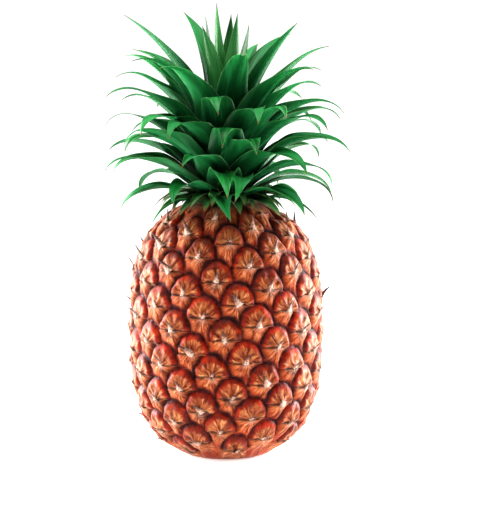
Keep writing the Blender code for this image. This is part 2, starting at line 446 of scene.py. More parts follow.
    def weathered(
        self, tree: bpy.types.NodeTree, colour: Socket, up: Socket, reach: Socket, rays: Socket,
        grain: Socket, wear: Socket,
    ) -> Socket:
        """Adds the grey patches by some tips, and the papery star where the sepals meet.

        Args:
            tree: the node tree.
            colour: the colour so far.
            up: millimetres up from the bract's tip.
            reach: millimetres from the bract's tip.
            rays: the fan of fibres.
            grain: a fine noise.
            wear: how worn the eye is, from 0 to 1.

        Returns:
            The weathered colour.
        """
        node = partial(add_node, tree)
        close = node(RANGE, reach, 7.5, 3.5, 0.0, 1.0, **SMOOTH)
        below = node(RANGE, up, 2.5, -1.0, 0.0, 1.0, **SMOOTH)
        patch = node(MATH, node(MATH, close, below, operation="MULTIPLY"), wear, operation="MULTIPLY")
        speck = node(RANGE, grain, 0.40, 0.60, 0.0, 0.9, **SMOOTH)
        colour = node(MIX, node(MATH, patch, speck, operation="MULTIPLY"), colour, self.mould, **COLOURS)
        arms = node(MATH, rays, 9.0, -3.2, operation="MULTIPLY_ADD")
        star = node(RANGE, node(MATH, arms, reach, operation="SUBTRACT"), -0.4, 1.0, 0.0, 0.65, **SMOOTH)
        colour = node(MIX, star, colour, self.paper, **COLOURS)
        pit = node(MATH, node(RANGE, reach, 2.6, 0.8, 0.0, 1.0, **SMOOTH),
                   node(RANGE, grain, 0.52, 0.62, 0.0, 0.8, **SMOOTH), operation="MULTIPLY")
        return node(MIX, pit, colour, self.seam, **COLOURS)

    def seams_with_painted_shade(
        self, tree: bpy.types.NodeTree, colour: Socket, edge: Socket, up: Socket, is_hood: Socket,
        grain: Socket, blotch: Socket,
    ) -> Socket:
        """Darkens the seams round each hood: their own deep maroon, deepened to near black by painted shade,
        and painted shade in the groove along the top of its bract.

        Args:
            tree: the node tree.
            colour: the colour so far.
            edge: millimetres from the seam.
            up: millimetres up from the bract's tip.
            is_hood: 1 on the sepals and 0 on the bract.
            grain: a fine noise.
            blotch: a broad noise.

        Returns:
            The colour with its seams.
        """
        node = partial(add_node, tree)
        # Darker towards each seam: a band of the seams' own deep maroon, then a near-black core that is
        # painted shade in the crease.
        uneven = node(MATH, blotch, 3.6, -1.5, operation="MULTIPLY_ADD")
        frayed = node(MATH, grain, 1.6, node(MATH, edge, uneven, operation="ADD"), operation="MULTIPLY_ADD")
        glow = node(RANGE, frayed, 4.2, 1.2, 0.0, 0.75, **SMOOTH)
        colour = node(MIX, glow, colour, self.rim_dark, **COLOURS)
        colour = node(MIX, node(RANGE, frayed, 2.0, 1.0, 0.0, 0.9, **SMOOTH), colour, self.seam, **COLOURS)
        # Painted shade: a dark line in the groove on the hood's lower edge, where it meets the bract.
        height = node(MATH, node(MATH, up, 1.2, operation="ADD"), operation="ABSOLUTE")
        line = node(MATH, node(RANGE, height, 1.3, 0.3, 0.0, 0.75, **SMOOTH), is_hood, operation="MULTIPLY")
        return node(MIX, line, colour, self.seam, **COLOURS)


@dataclass(frozen=True)
class BractTipFinish(Finish):
    """Dry papery bract tip: straw-pink at its foot, browned at its point, matte like old paper."""

    name: str = "papery_bract_tip"
    foot: str = "#c8a896"
    body: str = "#a88270"
    brown: str = "#5a3628"
    point: str = "#22120c"
    speck: str = "#3a221a"

    def dress(self, tree: bpy.types.NodeTree, shader: bpy.types.Node) -> None:
        """Wires the tip's colour along its length.

        Args:
            tree: the material's node tree.
            shader: its Principled shader.
        """
        node = partial(add_node, tree)
        along = node(ATTRIBUTE, attribute_name="along", out=2)
        streak = node(NOISE, node(COORDINATE, out=3), 700.0, 3.0)
        drift = node(MATH, streak, 0.7, -0.35, operation="MULTIPLY_ADD")
        shifted = node(MATH, along, drift, operation="ADD")
        stops = {0.0: self.foot, 0.36: self.body, 0.60: self.brown, 0.82: self.point}
        colour = node(RAMP, shifted, stops=stops)
        dust = node(NOISE, node(COORDINATE, out=3), 1300.0, 2.0)
        specks = node(RANGE, dust, 0.52, 0.62, 0.0, 0.8, **SMOOTH)
        colour = node(MIX, specks, colour, self.speck, **COLOURS)
        tree.links.new(colour, shader.inputs["Base Color"])
        bump = node(BUMP, named={"Height": streak, "Strength": 0.5, "Distance": 0.3 * MM})
        tree.links.new(bump, shader.inputs["Normal"])
        shader.inputs["Roughness"].default_value = 0.75


@dataclass(frozen=True)
class LeafFinish(Finish):
    """Waxy bromeliad leaf: deep green with fine lengthwise veins, a blue bloom and a browned point.

    The eye sees a satin sheen that breaks along the veins, and a hair-thin light margin.
    """

    name: str = "waxy_leaf"
    base: str = "#4f7a34"
    # deep is the darkest green, for dark veins and bands, and near the base also painted shade of the crown's
    # depths.
    deep: str = "#021f09"
    body: str = "#074a1a"
    light: str = "#279a46"
    bloom: str = "#418e6a"
    margin: str = "#72ac5c"
    under: str = "#1a6a38"
    end: str = "#289046"
    point: str = "#6f5c2c"
    light_at: float = 0.80  # the share of the length where the blade is lightest
    end_at: float = 0.97  # and where it has the colour of its end
    roughness: float = 0.34

    def dress(self, tree: bpy.types.NodeTree, shader: bpy.types.Node) -> None:
        """Wires the leaf's colours, sheen and veins.

        Args:
            tree: the material's node tree.
            shader: its Principled shader.
        """
        node = partial(add_node, tree)
        blade = node(ATTRIBUTE, attribute_name="blade", out=1)
        leaf = node(ATTRIBUTE, attribute_name="leaf", out=1)
        along, margin_mm, across = node(SEPARATE, blade).node.outputs[:3]
        chance, top_side, _ = node(SEPARATE, leaf).node.outputs[:3]
        own = node(MATH, chance, 60.0, operation="MULTIPLY")
        veins_at = node(COMBINE, node(MATH, across, 0.6, operation="MULTIPLY"),
                        node(MATH, along, 2.0, operation="MULTIPLY"), own)
        veins = node(NOISE, veins_at, 1.0, 1.5, 0.5)
        bands_at = node(COMBINE, node(MATH, across, 0.22, operation="MULTIPLY"),
                        node(MATH, along, 2.4, operation="MULTIPLY"), own)
        bands = node(NOISE, bands_at, 1.0, 2.0, 0.5)

        wander = node(MATH, along, node(MATH, bands, 0.36, -0.18, operation="MULTIPLY_ADD"), operation="ADD")
        # The blade darkens to the deep green near its base: partly the leaf's own dark green, partly painted
        # shade of the crown's depths.
        colour = node(RAMP, wander, stops={
            0.0: self.base, 0.13: self.deep, 0.40: self.body,
            self.light_at: self.light, self.end_at: self.end,
        })
        colour = node(MIX, node(RANGE, bands, 0.50, 0.68, 0.0, 0.75, **SMOOTH), colour, self.light, **COLOURS)
        colour = node(MIX, node(RANGE, bands, 0.46, 0.32, 0.0, 0.70, **SMOOTH), colour, self.deep, **COLOURS)
        haze = node(RANGE, node(MATH, veins, bands, operation="MULTIPLY"), 0.24, 0.38, 0.0, 0.65, **SMOOTH)
        colour = node(MIX, haze, colour, self.bloom, **COLOURS)
        colour = node(MIX, node(RANGE, veins, 0.50, 0.36, 0.0, 0.50, **SMOOTH), colour, self.deep, **COLOURS)
        colour = node(MIX, node(RANGE, veins, 0.56, 0.70, 0.0, 0.40, **SMOOTH), colour, self.light, **COLOURS)
        beneath = node(RANGE, top_side, 0.0, 1.0, 0.55, 0.0)
        colour = node(MIX, beneath, colour, self.under, **COLOURS)
        rim = node(RANGE, margin_mm, 0.45, 0.1, 0.0, 0.35, **SMOOTH)
        colour = node(MIX, rim, colour, self.margin, **COLOURS)
        burnt = node(RANGE, node(MATH, veins, 0.06, along, operation="MULTIPLY_ADD"), 0.985, 1.015, **SMOOTH)
        colour = node(MIX, burnt, colour, self.point, **COLOURS)
        tree.links.new(colour, shader.inputs["Base Color"])
        rough = node(RANGE, veins, 0.3, 0.7, self.roughness - 0.05, self.roughness + 0.12)
        tree.links.new(rough, shader.inputs["Roughness"])
        shader.inputs["IOR"].default_value = 1.45
        shader.inputs["Specular IOR Level"].default_value = 0.30
        bump = node(BUMP, named={"Height": veins, "Strength": 0.22, "Distance": 0.20 * MM})
        tree.links.new(bump, shader.inputs["Normal"])


LEAF = LeafFinish()
# Leaves that unfold last are still pale, with the deep green only at their points.
YOUNG_LEAF = LeafFinish(
    name="young_waxy_leaf", base="#6fa050", deep="#1f6c30", body="#2f8440", light="#5aa85a",
    bloom="#6cb070", margin="#7cb068", under="#3a8a48", end="#084018", point="#20482a",
    light_at=0.60, end_at=0.86,
)
# Small leaves round the crown's foot have begun to dry at their ends.
DRY_LEAF = LeafFinish(
    name="drying_leaf", base="#6f7a45", deep="#0b2a14", body="#1c4a24", light="#3f7a3c",
    bloom="#5f8a5a", margin="#a08a5a", under="#4a6a3c", end="#8a7440", point="#5a3a20",
)


@dataclass(frozen=True)
class CutStemFinish(Finish):
    """Cut plant stem: pale dry pith with darker strands of fibre, dull as raw wood."""

    name: str = "cut_stem_fibre"
    pith: str = "#c9a76c"
    strand: str = "#7a5a30"

    def dress(self, tree: bpy.types.NodeTree, shader: bpy.types.Node) -> None:
        """Wires the pith and its strands, which run up the stem and end as dots on the cut.

        Args:
            tree: the material's node tree.
            shader: its Principled shader.
        """
        node = partial(add_node, tree)
        place = node(COORDINATE, out=3)
        stretched = node(VECTOR, place, (1.0, 1.0, 0.12), operation="MULTIPLY")
        strands = node(VORONOI, stretched, 900.0)
        broad = node(NOISE, place, 160.0, 3.0)
        colour = node(MIX, node(RANGE, strands, 0.45, 0.15, **SMOOTH), self.pith, self.strand, **COLOURS)
        stain = node(RANGE, broad, 0.45, 0.75, 0.0, 0.5, **SMOOTH)
        colour = node(MIX, stain, colour, self.strand, **COLOURS)
        tree.links.new(colour, shader.inputs["Base Color"])
        bump = node(BUMP, named={"Height": strands, "Strength": 0.5, "Distance": 0.3 * MM})
        tree.links.new(bump, shader.inputs["Normal"])
        shader.inputs["Roughness"].default_value = 0.85


CUT_STEM = CutStemFinish()
# The crown's stem is hidden among the leaves and is still green where their bases sheathe it.
CROWN_STEM = CutStemFinish(name="green_stem_fibre", pith="#4a6a30", strand="#1c4a20")


@dataclass(frozen=True)
class FloorFinish(Finish):
    """Matte white paper sweep with a faint tooth, lit from underneath like a light table."""

    name: str = "paper_sweep"
    glow: float = 0.38

    def dress(self, tree: bpy.types.NodeTree, shader: bpy.types.Node) -> None:
        """Wires the sweep's near-white colour.

        Args:
            tree: the material's node tree.
            shader: its Principled shader.
        """
        node = partial(add_node, tree)
        tooth = node(NOISE, node(COORDINATE, out=3), 60.0, 2.0)
        colour = node(MIX, node(RANGE, tooth, 0.3, 0.7, **SMOOTH), "#fbfbfb", "#ffffff", **COLOURS)
        tree.links.new(colour, shader.inputs["Base Color"])
        shader.inputs["Emission Color"].default_value = linear("#ffffff")
        shader.inputs["Emission Strength"].default_value = self.glow
        shader.inputs["Roughness"].default_value = 0.9


# ---- fruit -------------------------------------------------------------------------------------
@dataclass
class FruitForm:
    """The fruit's smooth outline and the golden-angle lattice of its eyes, as the CAD part has them."""

    radius: float
    height: float
    rise_over: float = 0.002  # how much taller the whole superellipse is, at each end
    power: float = 2.8
    eye_pitch: float = 0.001103
    first_height: float = 0.0037
    first_azimuth: float = math.radians(89.1)
    eye_count: int = 145
    table: tuple[Array, Array] = field(init=False)

    def __post_init__(self) -> None:
        """Tabulates the length of the outline from the base upwards."""
        z = np.linspace(0.0, self.height, 4001)
        r = self.radius_at(z)
        steps = np.hypot(np.diff(z), np.diff(r))
        self.table = (z, np.concatenate([[0.0], np.cumsum(steps)]))

    def radius_at(self, z: Array | float) -> Array:
        """The radius over the tops of the eyes at a height."""
        middle = self.height / 2.0
        t = np.clip(np.abs(np.asarray(z, float) - middle) / (middle + self.rise_over), 0.0, 1.0)
        return self.radius * (1.0 - t**self.power) ** (1.0 / self.power)

    def length_at(self, z: Array | float) -> Array:
        """The length of the outline from the base up to a height."""
        return np.interp(z, *self.table)

    def height_at(self, length: Array | float) -> Array:
        """The height at a length along the outline."""
        return np.interp(length, self.table[1], self.table[0])

    def eyes(self) -> tuple[Array, Array]:
        """The azimuth and height of every eye, from the base upwards."""
        index = np.arange(self.eye_count)
        return self.first_azimuth + GOLDEN_ANGLE * index, self.first_height + self.eye_pitch * index

    def frame_at(self, azimuth: Array, z: Array) -> tuple[Array, Array, Array]:
        """Points on the outline's surface with their outward normals and upward tangents.

        Args:
            azimuth: angles round the fruit.
            z: heights.

        Returns:
            Points, normals and tangents, one row for each.
        """
        r = self.radius_at(z)
        low, high = np.clip(z - 1e-4, 0.0, self.height), np.clip(z + 1e-4, 0.0, self.height)
        slope_r = self.radius_at(high) - self.radius_at(low)
        slope_z = high - low
        size = np.hypot(slope_r, slope_z)
        slope_r, slope_z = slope_r / size, slope_z / size
        c, s = np.cos(azimuth), np.sin(azimuth)
        points = np.column_stack([r * c, r * s, z])
        normals = np.column_stack([slope_z * c, slope_z * s, -slope_r])
        tangents = np.column_stack([slope_r * c, slope_r * s, slope_z])
        return points, normals, tangents


@dataclass
class EyeShape:
    """The relief of one eye in its own millimetres: across, and up from its bract's tip."""

    half_width: float = 12.2
    arch: float = 15.0  # height of the hood over its line
    line: float = -1.5  # where the hood meets the bract
    depth: float = 3.1  # of the seams
    rim: float = 4.2  # width over which the hood rounds up from its seam
    slump: float = 0.085  # how much the hood leans back for each millimetre from the tip
    bract_fall: float = 0.18  # how much the bract sinks for each millimetre down

    def hood_edge(self, u: Array, v: Array) -> Array:
        """Millimetres in from the hood's arch, negative outside it."""
        q = (np.abs(u) / self.half_width) ** 2.2 + (np.maximum(v - self.line, 0.0) / self.arch) ** 1.9
        return 12.0 * (1.0 - q ** (1.0 / 2.05))

    def hood_height(self, u: Array, v: Array, edge: Array) -> Array:
        """The hood's height: a rounded rim round a shallow bowl that rises again to the bract's tip."""
        rise = 1.0 - (1.0 - np.clip(edge / self.rim, 0.0, 1.0)) ** 2.2
        reach = np.hypot(u, v)
        lip = 1.1 * np.exp(-(((v - self.line) / 1.3) ** 2)) * smoothstep(1.2, 3.0, np.abs(u))
        bowl = 0.7 * smoothstep(3.2, 7.5, edge) * smoothstep(1.0, 5.0, reach) + self.slump * reach
        folds = 0.30 * np.cos(7.0 * np.arctan2(u, np.abs(v) + 0.5)) * smoothstep(1.5, 4.0, reach)
        return -self.depth * (1.0 - rise) - lip - bowl - 0.30 - folds * smoothstep(0.5, 3.0, edge)

    def bract_height(self, u: Array, v: Array, edge: Array) -> Array:
        """The bract's height, highest at its tip and sinking into the seams."""
        down = np.maximum(self.line - v, 0.0)
        fall = self.bract_fall * down + 0.010 * u**2
        ribs = 0.26 * np.cos(9.0 * np.arctan2(u, down + 2.0)) * smoothstep(0.5, 3.5, down)
        seam = self.depth * np.exp(-((np.maximum(edge, 0.0) / 1.5) ** 1.5))
        return -np.minimum(0.40 + fall + seam * 0.8 - ribs, self.depth + 0.3)


@dataclass
class Rind:
    """The fruit's skin: a dense turned surface pressed in between its eyes."""

    form: FruitForm
    shape: EyeShape
    stub_pocket: tuple[float, float]  # radius and depth
    columns: int = 420
    rows: int = 216
    flat_rings: int = 5
    fade: float = 0.006  # height over which the relief dies out at both ends
    seed: int = 5

    def rings(self) -> Array:
        """Radius and height of each ring from the seat of the crown to the pocket's roof."""
        total = float(self.form.table[1][-1])
        side_z = self.form.height_at(np.linspace(total, 0.0, self.rows))
        side = np.column_stack([self.form.radius_at(side_z), side_z])
        top = float(self.form.radius_at(self.form.height))
        foot = float(self.form.radius_at(0.0))
        pocket, roof = self.stub_pocket
        shares = np.arange(1, self.flat_rings) / self.flat_rings
        seat = np.column_stack([top * shares, np.full(len(shares), self.form.height)])
        base = np.column_stack([foot + (pocket - foot) * shares, np.zeros(len(shares))])
        inner = np.array([[pocket, 0.0], [pocket, roof]])
        return np.vstack([seat, side, base, inner])

    def relief(self, azimuth: Array, z: Array) -> tuple[Array, Array, Array]:
        """Height and pattern coordinates of points on the side.

        Args:
            azimuth: their angles round the fruit.
            z: their heights.

        Returns:
            Heights in metres (0 or less), the eye coordinates (across, up, random) and the cell facts
            (distance to the seam, 1 on a hood, wear), all in millimetres.
        """
        chance = np.random.default_rng(self.seed)
        eye_azimuth, eye_z = self.form.eyes()
        count = len(eye_azimuth)
        size = chance.uniform(0.95, 1.05, count)
        lift = chance.uniform(-0.5, 0.0, count)
        lean = chance.uniform(-0.07, 0.07, count)
        shift = chance.uniform(-0.6, 0.6, (count, 2))
        fate = chance.uniform(0.0, 1.0, count)
        wear = np.clip((chance.uniform(0.0, 1.0, count) - 0.45) * 2.5, 0.0, 1.0)

        radius = self.form.radius_at(z)
        narrow = np.maximum((radius / self.form.radius) ** 0.6, 0.45)[:, None]
        turn = (azimuth[:, None] - eye_azimuth[None, :] + math.pi) % (2.0 * math.pi) - math.pi
        u = turn * radius[:, None] / MM / narrow / size - shift[:, 0]
        rise = self.form.length_at(z)[:, None] - self.form.length_at(eye_z)[None, :]
        v = rise / MM * narrow / size - shift[:, 1]
        u = u + lean * v + self.ripple(azimuth, z, 0.0)[:, None]
        v = v + self.ripple(azimuth, z, 2.1)[:, None]

        edge = self.shape.hood_edge(u, v)
        above = v > self.shape.line
        hood_edge = np.where(above, edge, FAR_OUTSIDE)
        hood = np.argmax(hood_edge, axis=1)
        rows = np.arange(len(z))
        in_hood = hood_edge[rows, hood] > 0.0
        cost = np.hypot(u / 10.0, (v + 5.5) / 7.5) + np.where(v > 1.0, 5.0, 0.0)
        bract = np.argmin(cost, axis=1)
        outside = hood_edge.copy()
        outside[rows, bract] = FAR_OUTSIDE
        to_arch = -np.max(outside, axis=1)
        owner = np.where(in_hood, hood, bract)
        own_u, own_v = u[rows, owner], v[rows, owner]
        edge_here = np.where(in_hood, hood_edge[rows, hood], np.clip(to_arch, 0.0, 9.0))
        height = np.where(
            in_hood,
            self.shape.hood_height(own_u, own_v, edge_here),
            self.shape.bract_height(own_u, own_v, edge_here),
        )
        height = np.minimum(height + lift[owner] * smoothstep(0.0, 3.0, edge_here), -0.02)
        fade = smoothstep(0.0, self.fade, z) * smoothstep(0.0, self.fade, self.form.height - z)
        eye = np.column_stack([own_u, own_v, fate[owner]])
        cell = np.column_stack([edge_here, in_hood.astype(float), wear[owner]])
        return height * fade * MM, eye, cell

    @staticmethod
    def ripple(azimuth: Array, z: Array, phase: float) -> Array:
        """A gentle unevenness in millimetres that bends the outlines of the eyes."""
        first = np.sin(31.0 * azimuth + 260.0 * z + phase) + np.sin(-23.0 * azimuth + 410.0 * z + 2.0 * phase)
        second = np.sin(47.0 * azimuth - 330.0 * z + 3.0 * phase) + np.sin(13.0 * azimuth + 700.0 * z - phase)
        return 0.17 * first + 0.14 * second

    def build(self) -> bpy.types.Object:
        """Builds the skin in place of the CAD fruit."""
        rings = self.rings()
        azimuth = np.linspace(0.0, 2.0 * math.pi, self.columns, endpoint=False)
        ring_azimuth = np.tile(azimuth, len(rings))
        radius = np.repeat(rings[:, 0], self.columns)
        z = np.repeat(rings[:, 1], self.columns)
        points = np.column_stack([radius * np.cos(ring_azimuth), radius * np.sin(ring_azimuth), z])
        eye = np.zeros_like(points)
        cell = np.tile([5.0, 0.0, 0.0], (len(points), 1))
        first = (self.flat_rings - 1) * self.columns
        side = np.arange(first, first + self.rows * self.columns)
        for part in np.array_split(side, 24):
            height, eye[part], cell[part] = self.relief(ring_azimuth[part], z[part])
            surface, normals, _ = self.form.frame_at(ring_azimuth[part], z[part])
            points[part] = surface + normals * height[:, None]
        roof = self.stub_pocket[1]
        points = np.vstack([[0.0, 0.0, self.form.height], points, [0.0, 0.0, roof]])
        eye = np.vstack([np.zeros(3), eye, np.zeros(3)])
        cell = np.vstack([[5.0, 0.0, 0.0], cell, [5.0, 0.0, 0.0]])
        faces = turned_grid(len(rings), self.columns)
        skin = mesh_object("rind_skin", points, faces, {"eye": eye, "cell": cell})
        RindFinish().put_on(skin)
        settle(skin, ["fruit"])
        return skin


@dataclass
class Scatter:
    """Sets copies of a small shape on seats, each turned and sized a little differently."""

    smallest: float
    largest: float
    twist: float
    seed: int

    def seats(self, name: str, points: Array, out: Array, upward: Array) -> bpy.types.Object:
        """Makes the seats.

        Args:
            name: the finished piece's name.
            points: where the seats are.
            out: the direction that each shape's +Z takes.
            upward: the direction that each shape's +Y takes.

        Returns:
            An object of loose points.
        """
        return mesh_object(name, points, [], {"out": out, "upward": upward})

    def tree(self, shape: bpy.types.Object, finish: bpy.types.Material) -> bpy.types.NodeTree:
        """Builds the tree that sets the shape on every seat.

        Args:
            shape: the shape to set.
            finish: its material.

        Returns:
            The node tree.
        """
        tree = bpy.data.node_groups.new("set_on_seats", "GeometryNodeTree")
        tree.interface.new_socket("Geometry", in_out="OUTPUT", socket_type="NodeSocketGeometry")
        tree.interface.new_socket("Geometry", in_out="INPUT", socket_type="NodeSocketGeometry")
        for name in ("Smallest", "Largest", "Twist"):
            tree.interface.new_socket(name, in_out="INPUT", socket_type="NodeSocketFloat")
        tree.interface.new_socket("Seed", in_out="INPUT", socket_type="NodeSocketInt")
        node = partial(add_node, tree)
        seats, smallest, largest, twist, seed = node("NodeGroupInput").node.outputs[:5]
        out = node("GeometryNodeInputNamedAttribute", "out", data_type="FLOAT_VECTOR")
        upward = node("GeometryNodeInputNamedAttribute", "upward", data_type="FLOAT_VECTOR")
        facing = node("FunctionNodeAxesToRotation", out, upward, primary_axis="Z", secondary_axis="Y")
        less = node(MATH, twist, -1.0, operation="MULTIPLY")
        angle = node("FunctionNodeRandomValue", less, twist, None, seed, data_type="FLOAT")
        own_twist = node("FunctionNodeAxisAngleToRotation", (0.0, 0.0, 1.0), angle)
        turned = node("FunctionNodeRotateRotation", facing, own_twist, rotation_space="LOCAL")
        size = node("FunctionNodeRandomValue", smallest, largest, None, seed, data_type="FLOAT")
        copy = node("GeometryNodeObjectInfo", shape, out=4)
        named = {"Points": seats, "Instance": copy, "Rotation": turned, "Scale": size}
        real = node("GeometryNodeRealizeInstances", node("GeometryNodeInstanceOnPoints", named=named))
        node("NodeGroupOutput", node("GeometryNodeSetMaterial", real, None, finish))
        return tree

    def spread(
        self, shape: bpy.types.Object, seats: bpy.types.Object, finish: bpy.types.Material
    ) -> bpy.types.Object:
        """Runs the tree on the seats and removes the shape.

        Args:
            shape: the shape to set.
            seats: the seats.
            finish: its material.

        Returns:
            One plain mesh of every copy.
        """
        values = {"Smallest": self.smallest, "Largest": self.largest, "Twist": self.twist, "Seed": self.seed}
        made = run_tree(seats, self.tree(shape, finish), values)
        bpy.data.objects.remove(shape, do_unlink=True)
        return made


@dataclass
class BractTips:
    """The papery point of every bract, which stands off the eye like a small thorn."""

    form: FruitForm
    length: float = 9.2 * MM
    half_width: float = 2.4 * MM
    sunk: float = 1.3 * MM  # of the foot below the tops of the eyes
    lift: float = 0.46  # how far the point stands off the eye, as a share of the length
    rows: int = 7

    def blade(self) -> bpy.types.Object:
        """One tip: a folded paper point along +Y that curls up along +Z."""
        shares = np.linspace(0.0, 1.0, self.rows)
        half = self.half_width * (1.0 - shares) ** 1.1 + 0.16 * MM
        y = self.length * (shares * 0.92 - 0.22)
        z = self.length * (0.10 * shares + self.lift * shares**1.8)
        thick = 0.30 * MM * (1.0 - 0.6 * shares)
        left = np.column_stack([-half, y, z])
        keel = np.column_stack([0.0 * half, y, z + half * 0.40])
        right = np.column_stack([half, y, z])
        under = np.column_stack([0.0 * half, y, z + half * 0.40 - thick])
        points = np.stack([left, under, right, keel], axis=1).reshape(-1, 3)
        faces: list[tuple[int, ...]] = []
        for i in range(self.rows - 1):
            a, b = 4 * i, 4 * i + 4
            faces += [(a + j, a + (j + 1) % 4, b + (j + 1) % 4, b + j) for j in range(4)]
        last = 4 * (self.rows - 1)
        faces += [(3, 2, 1, 0), (last, last + 1, last + 2, last + 3)]
        tip = mesh_object("bract_tip_shape", points, faces)
        layer = tip.data.attributes.new("along", "FLOAT", "POINT")
        layer.data.foreach_set("value", np.repeat(shares, 4).astype(np.float32))
        return tip

    def build(self) -> bpy.types.Object:
        """Builds every tip as one piece."""
        azimuth, z = self.form.eyes()
        keep = (z > 0.006) & (z < self.form.height - 0.003)
        points, normals, tangents = self.form.frame_at(azimuth[keep], z[keep])
        scatter = Scatter(smallest=0.65, largest=1.25, twist=0.85, seed=21)
        seats = scatter.seats("rind_bract_tips", points - normals * self.sunk, normals, tangents)
        tips = scatter.spread(self.blade(), seats, BractTipFinish().material())
        settle(tips)
        return tips


# ---- crown -------------------------------------------------------------------------------------
@dataclass
class CrownForm:
    """The sizes of the crown that its leaves share, as the CAD part has them."""

    base: float
    height: float
    foot_radius: float
    count: int = 57
    gap: float = 0.0003
    thickness: float = 0.0008
    shoulder: float = 0.72
    shoulder_radius: float = 0.0125
    tip_radius: float = 0.0035
    wrap_limit: float = 0.93
    first_azimuth: float = math.radians(74.7)
    first_height: float = 0.0006
    last_drop: float = 0.0012
    young_rank: float = 0.90
    seed: int = 1857
    ranks: tuple[float, ...] = (0.0, 0.1, 0.25, 0.4, 0.6, 0.75, 0.86, 0.895, 0.92, 0.95, 1.0)
    lengths: tuple[float, ...] = (
        0.044, 0.055, 0.067, 0.073, 0.081, 0.089, 0.093, 0.090, 0.061, 0.0735, 0.0725,
    )
    half_widths: tuple[float, ...] = (
        0.0085, 0.0105, 0.0130, 0.0148, 0.0160, 0.0158, 0.0140, 0.0125, 0.0108, 0.0105, 0.0098,
    )
    channels: tuple[float, ...] = (
        0.0025, 0.0038, 0.0056, 0.0074, 0.0084, 0.0082, 0.0062, 0.0042, 0.0008, 0.0004, 0.0,
    )
    slopes: tuple[float, ...] = (17.0, 27.0, 40.0, 52.0, 62.0, 67.0, 73.0, 78.0, 86.0, 87.0, 88.0)
    bends: tuple[float, ...] = (72.0, 70.0, 60.0, 57.0, 54.0, 50.0, 42.0, 38.0, 12.0, 4.0, 0.0)
    spread: float = 17.0
    curl: tuple[float, float] = (35.0, 95.0)
    fold: float = 1.2
    sway: float = 10.0
    roll: float = 24.0

    def at(self, rank: float, values: tuple[float, ...]) -> float:
        """A table's value at a leaf's rank."""
        return float(np.interp(rank, self.ranks, values))

    def stem_radius(self, z: float) -> float:
        """The crown stem's radius at a height."""
        heights = (self.base, self.base + self.shoulder * self.height, self.base + self.height)
        return float(np.interp(z, heights, (self.foot_radius, self.shoulder_radius, self.tip_radius)))


class CrownLeaf:
    """One leaf: the CAD leaf's middle surface, with a fine grid, a thin margin and a wavy edge."""

    def __init__(self, form: CrownForm, index: float, chance: random.Random) -> None:
        """Draws the leaf's own bend, curl, sway and roll in the CAD part's order."""
        rank = index / (form.count - 1)
        self.form = form
        self.index = index
        self.rank = rank
        self.length = form.at(rank, form.lengths) * (1.0 + chance.uniform(-0.06, 0.06))
        self.half_width = form.at(rank, form.half_widths)
        self.channel = form.at(rank, form.channels)
        self.azimuth = form.first_azimuth + GOLDEN_ANGLE * index
        self.start_slope = math.radians(form.at(rank, form.slopes))
        stray = form.spread * float((1.0 - smoothstep(0.80, 0.92, rank)) * smoothstep(0.0, 0.3, rank))
        self.bend = math.radians(form.at(rank, form.bends) + chance.uniform(-stray, stray))
        droop = float((1.0 - smoothstep(0.60, 0.92, rank)) * smoothstep(0.0, 0.25, rank))
        self.curl = math.radians(chance.uniform(*form.curl) * droop)
        self.sway = math.radians(chance.uniform(-form.sway, form.sway))
        self.roll = math.radians(chance.uniform(-form.roll, form.roll)) * (1.0 - rank)
        travel = form.height - form.first_height - form.last_drop
        self.start_height = form.base + form.first_height + travel * rank**1.2
        self.own = random.Random(1000 + round(index * 2))

    def slope(self, s: Array) -> Array:
        """The leaf's slope at shares of its length."""
        tip = np.clip((s - 0.65) / 0.35, 0.0, 1.0)
        return self.start_slope - self.bend * s - self.curl * tip**1.5

    def spine(self, s: Array) -> tuple[Array, Array]:
        """Radius and height of the middle line at shares of the length."""
        fine = np.linspace(0.0, 1.0, 201)
        middle = (fine[1:] + fine[:-1]) / 2.0
        step = self.length / (len(fine) - 1)
        run = np.concatenate([[0.0], np.cumsum(np.cos(self.slope(middle)) * step)])
        rise = np.concatenate([[0.0], np.cumsum(np.sin(self.slope(middle)) * step)])
        start = self.form.stem_radius(self.start_height) + self.form.gap + self.form.thickness
        return start + np.interp(s, fine, run), self.start_height + np.interp(s, fine, rise)

    def width(self, s: Array) -> Array:
        """Half the width at shares of the length."""
        base = 0.72 + 0.28 * smoothstep(0.0, 0.16, s)
        return np.maximum(self.half_width * base * (1.0 - s**1.55), 0.0002)

    def trough(self, s: Array) -> Array:
        """How much of the leaf's channel there is at shares of the length; a drooping tip turns it over."""
        most = math.radians(self.form.curl[1])
        turned_over = self.form.fold * self.curl / most * smoothstep(0.45, 0.75, s)
        return smoothstep(0.12, 0.5, s) * (1.0 - turned_over)

    def points(self, u: Array, s: Array, raised: Array | float = 0.0) -> Array:
        """Points of the leaf.

        Args:
            u: from -1 to 1 across.
            s: from 0 to 1 along.
            raised: metres over the middle surface.

        Returns:
            One row for each point.
        """
        r, z = self.spine(s)
        slope = self.slope(s)
        half = np.minimum(self.width(s), r * self.form.wrap_limit)
        lift = self.channel * self.trough(s) * half / self.half_width * u * u
        lift = lift + math.tan(self.roll) * smoothstep(0.25, 0.8, s) * half * u + raised
        azimuth = self.azimuth + self.sway * s * s + u * half / r
        out = r - lift * np.sin(slope)
        up = z + lift * np.cos(slope)
        return np.column_stack([out * np.cos(azimuth), out * np.sin(azimuth), up])


